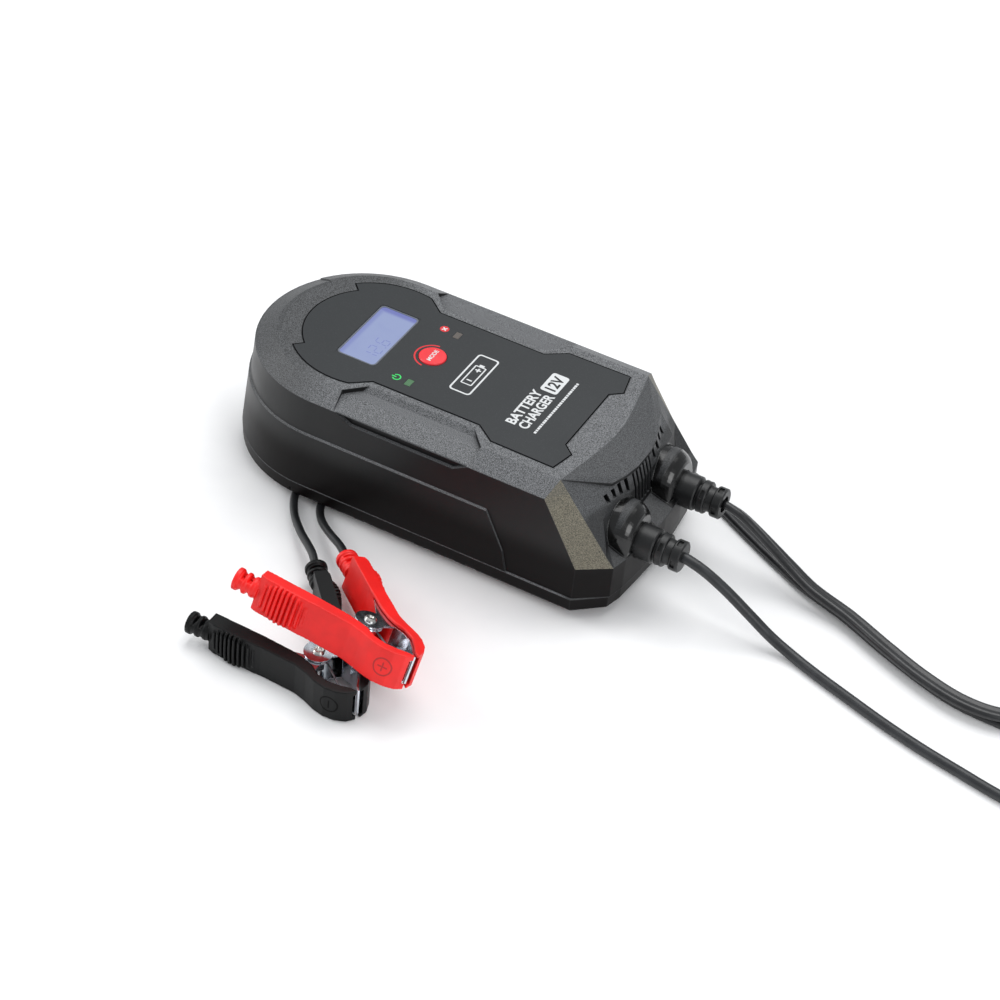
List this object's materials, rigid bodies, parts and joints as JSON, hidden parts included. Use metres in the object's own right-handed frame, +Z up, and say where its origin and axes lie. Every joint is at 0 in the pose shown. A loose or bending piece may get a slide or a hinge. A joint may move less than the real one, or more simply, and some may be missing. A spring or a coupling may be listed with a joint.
{
  "type": "car battery charger",
  "caption": "Smart car battery charger: black housing with display and mode button, cable glands, mains cord with plug, and output cord with a red and a black battery clamp.",
  "frame": {"origin": "on the floor under the middle of the housing", "axes": "+X along the housing toward the cables, +Z up, +Y to the rear long side"},
  "size_m": [0.6876, 0.3179, 0.0864],
  "materials": {
    "housing_black": "moulded ABS, fine grain on the bevels and coarse grain on the corners",
    "rubber_black": "matt moulded rubber",
    "screw_steel": "zinc plated",
    "overlay": "matt polycarbonate film",
    "print_white": "screen print",
    "lcd_glass": "lit display glass",
    "lcd_body": "display module",
    "button_red": "satin silicone cap",
    "part_black": "moulded part",
    "light_window": "tinted light pipe",
    "board_green": "solder resist on glass-fibre board",
    "ferrite": "sintered ferrite",
    "copper_wire": "enamelled copper with tape",
    "capacitor_sleeve": "shrink sleeve",
    "heat_sink": "extruded",
    "terminal_green": "moulded terminal block",
    "cord_black": "smooth PVC sheath",
    "plug_black": "moulded PVC",
    "pin_nickel": "nickel plated",
    "clamp_red": "moulded PVC",
    "clamp_black": "moulded PVC",
    "jaw_zinc": "bright zinc plated spring steel"
  },
  "bodies": {
    "housing": {"bottom_cover": "housing_black", "top_cover": "housing_black", "rubber_feet": "rubber_black", "cover_screws": "screw_steel", "panel_overlay": "overlay", "panel_prints": "print_white", "lcd_window": "lcd_glass", "lcd_module": "lcd_body", "tact_switch": "part_black", "status_lights": "light_window", "display_board": "board_green", "display_screws": "screw_steel", "main_board": "board_green", "board_screws": "screw_steel", "transformer_core": "ferrite", "transformer_winding": "copper_wire", "capacitors": "capacitor_sleeve", "heat_sink": "heat_sink", "terminals": "terminal_green", "fan_frame": "part_black", "mains_relief": "rubber_black", "output_relief": "rubber_black", "mains_cord": "cord_black", "mains_coil": "cord_black", "mains_plug": "plug_black", "plug_pins": "pin_nickel", "output_cord": "cord_black", "output_coil": "cord_black", "output_return": "cord_black", "split_sleeve": "cord_black", "red_lead": "cord_black", "black_lead": "cord_black", "red_fixed_handle": "clamp_red", "red_fixed_jaw": "jaw_zinc", "red_rivet": "jaw_zinc", "red_spring": "jaw_zinc", "black_fixed_handle": "clamp_black", "black_fixed_jaw": "jaw_zinc", "black_rivet": "jaw_zinc", "black_spring": "jaw_zinc"},
    "mode_button": {"mode_button": "button_red"},
    "fan": {"fan_rotor": "part_black"},
    "red_jaw": {"red_moving_handle": "clamp_red", "red_moving_jaw": "jaw_zinc"},
    "black_jaw": {"black_moving_handle": "clamp_black", "black_moving_jaw": "jaw_zinc"}
  },
  "joints": [
    {"name": "mode_button_press", "type": "slide", "parent": "housing", "child": "mode_button", "axis": [0, 0, -1], "range_m": [0, 0.0008], "stiffness_N_per_m": 600, "springref_m": -0.001},
    {"name": "fan_spin", "type": "hinge", "parent": "housing", "child": "fan", "pos_m": [0.098, 0, 0.0386], "axis": [1, 0, 0], "continuous": true},
    {"name": "red_clamp_open", "type": "hinge", "parent": "housing", "child": "red_jaw", "pos_m": [0.0381, -0.1714, 0.0314], "axis": [-0.1175, -0.3177, -0.9409], "range_deg": [0, 26], "stiffness_Nm_per_rad": 1.2, "springref_deg": -34.38, "deforming": ["red_spring"]},
    {"name": "black_clamp_open", "type": "hinge", "parent": "housing", "child": "black_jaw", "pos_m": [0.0187, -0.1875, 0.0114], "axis": [0, 0, -1], "range_deg": [0, 26], "stiffness_Nm_per_rad": 1.2, "springref_deg": -34.38, "deforming": ["black_spring"]}
  ]
}
